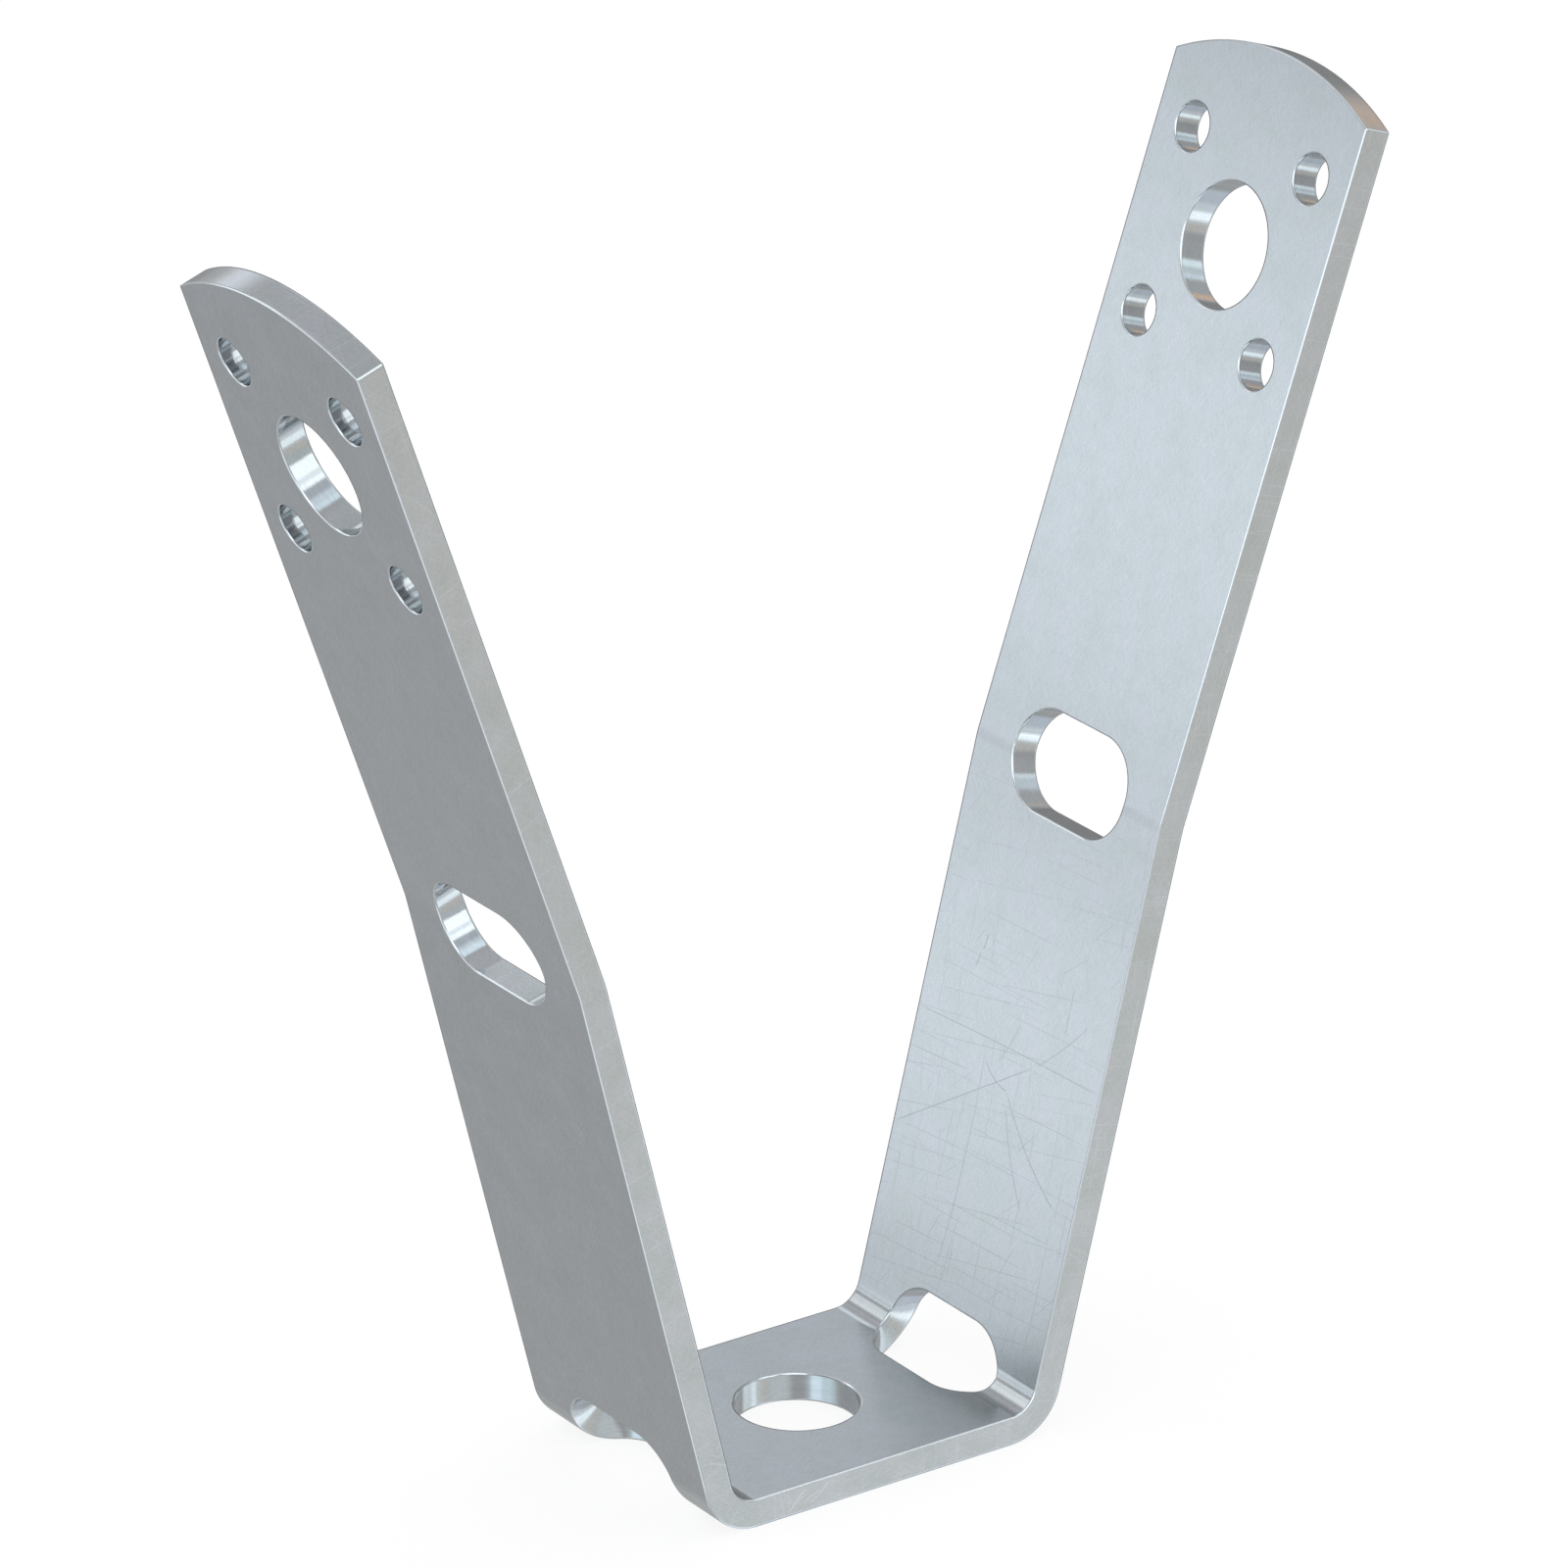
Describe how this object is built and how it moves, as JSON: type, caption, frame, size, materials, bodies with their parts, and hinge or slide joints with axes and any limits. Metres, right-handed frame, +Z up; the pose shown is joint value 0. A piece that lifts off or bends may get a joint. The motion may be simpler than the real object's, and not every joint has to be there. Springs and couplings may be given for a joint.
{
  "type": "channel hanger",
  "caption": "Splayed hanger bent from flat steel strip: a flat base with a rod hole, and outward-leaning legs with slots, a large end hole and screw holes round it.",
  "frame": {"origin": "middle of the base's underside, on the axis of the rod hole", "axes": "+Z up along the rod hole's axis, X from leg to leg, Y across the strip's width"},
  "size_m": [0.1592, 0.04, 0.1758],
  "materials": {
    "zinc_coated_steel": "satin zinc-coated strip with fine scratches"
  },
  "bodies": {
    "root": {"hanger": "zinc_coated_steel"}
  },
  "joints": []
}
